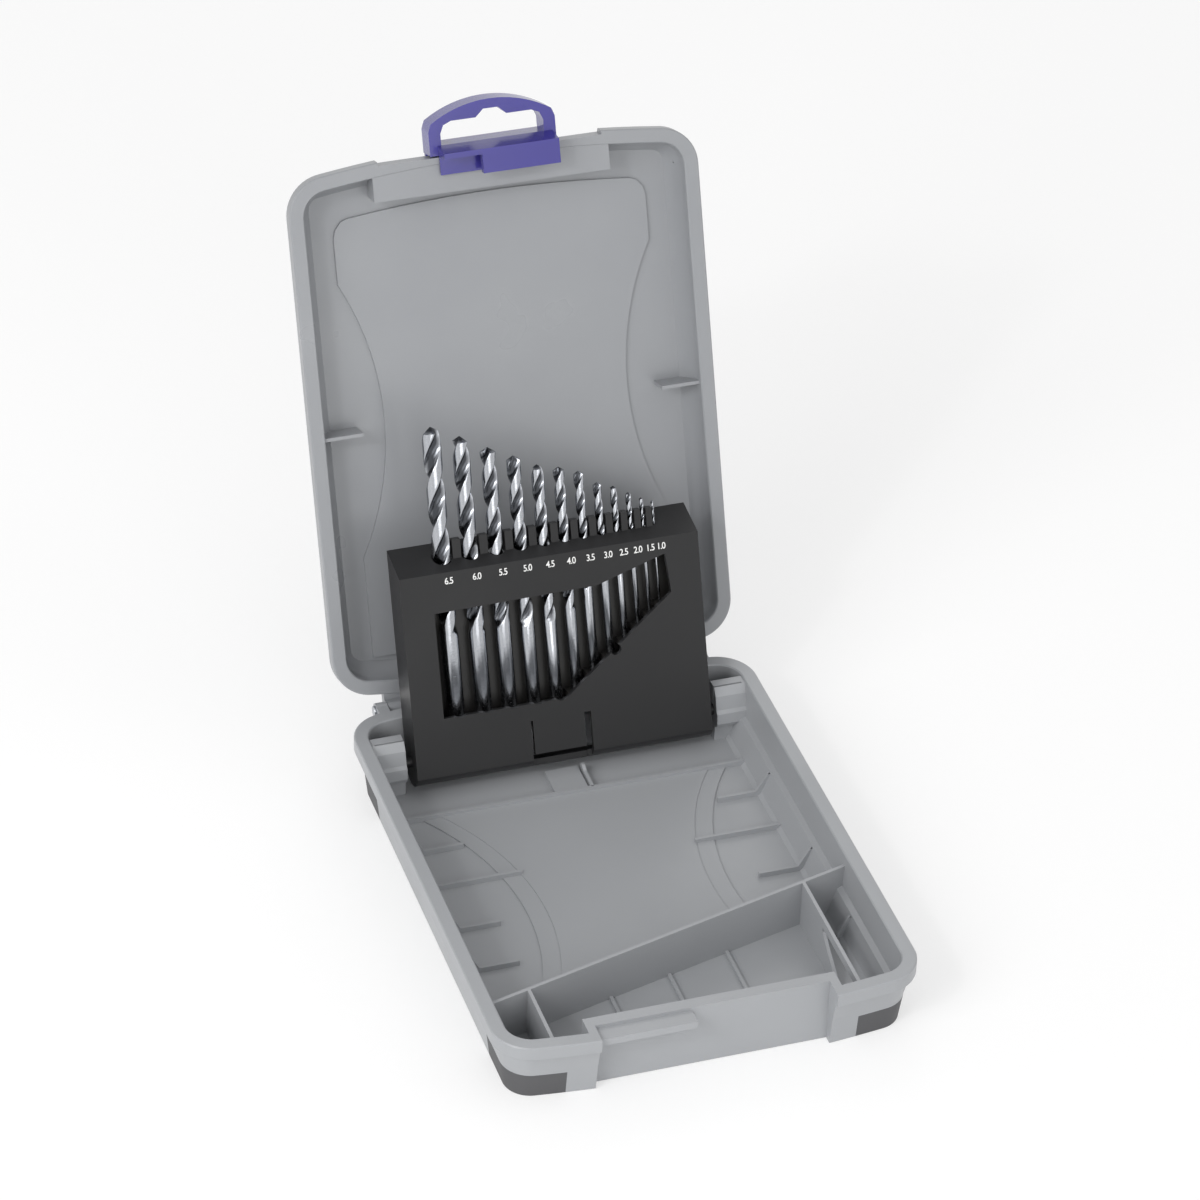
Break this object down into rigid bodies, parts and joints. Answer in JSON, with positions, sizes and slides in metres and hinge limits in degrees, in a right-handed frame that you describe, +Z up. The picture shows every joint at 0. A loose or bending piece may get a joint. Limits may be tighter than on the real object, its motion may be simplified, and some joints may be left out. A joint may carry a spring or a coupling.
{
  "type": "drill bit case",
  "caption": "Flat hinged plastic case with a clear grey lid, a sliding hanging latch, a divided tray and a fold-up holder of steel twist drills",
  "frame": {"origin": "on the floor under the centre of the tray's plan", "axes": "+X to the right seen from the latch side, +Y to the hinge side, +Z up"},
  "size_m": [0.146, 0.2739, 0.2154],
  "materials": {
    "tray_grey": "satin moulded",
    "foot_grey": "matt moulded",
    "lid_grey": "smoke translucent",
    "latch_violet": "translucent",
    "holder_black": "satin",
    "label_white": "printed",
    "drill_steel": "ground bright",
    "pin_steel": "bright"
  },
  "bodies": {
    "tray": {"base_tray": "tray_grey", "foot_front_left": "foot_grey", "foot_front_right": "foot_grey", "foot_rear_left": "foot_grey", "foot_rear_right": "foot_grey", "hinge_pin_left": "pin_steel", "hinge_pin_right": "pin_steel"},
    "lid": {"lid": "lid_grey"},
    "latch": {"latch_handle": "latch_violet"},
    "holder": {"holder_body": "holder_black", "holder_insert": "holder_black", "size_labels": "label_white", "drill_6_5": "drill_steel", "drill_6_0": "drill_steel", "drill_5_5": "drill_steel", "drill_5_0": "drill_steel", "drill_4_5": "drill_steel", "drill_4_0": "drill_steel", "drill_3_5": "drill_steel", "drill_3_0": "drill_steel", "drill_2_5": "drill_steel", "drill_2_0": "drill_steel", "drill_1_5": "drill_steel", "drill_1_0": "drill_steel"}
  },
  "joints": [
    {"name": "lid_hinge", "type": "hinge", "parent": "tray", "child": "lid", "pos_m": [0, 0.0972, 0.021], "axis": [1, 0, 0], "range_deg": [0, 110]},
    {"name": "holder_pivot", "type": "hinge", "parent": "tray", "child": "holder", "pos_m": [0, 0.0758, 0.0135], "axis": [1, 0, 0], "range_deg": [0, 110]},
    {"name": "latch_slide", "type": "slide", "parent": "lid", "child": "latch", "axis": [1, 0, 0], "range_m": [-0.014, 0.014]}
  ],
  "couplings": [
    {"joint": "holder_pivot", "follows": "lid_hinge", "ratio": 1}
  ]
}
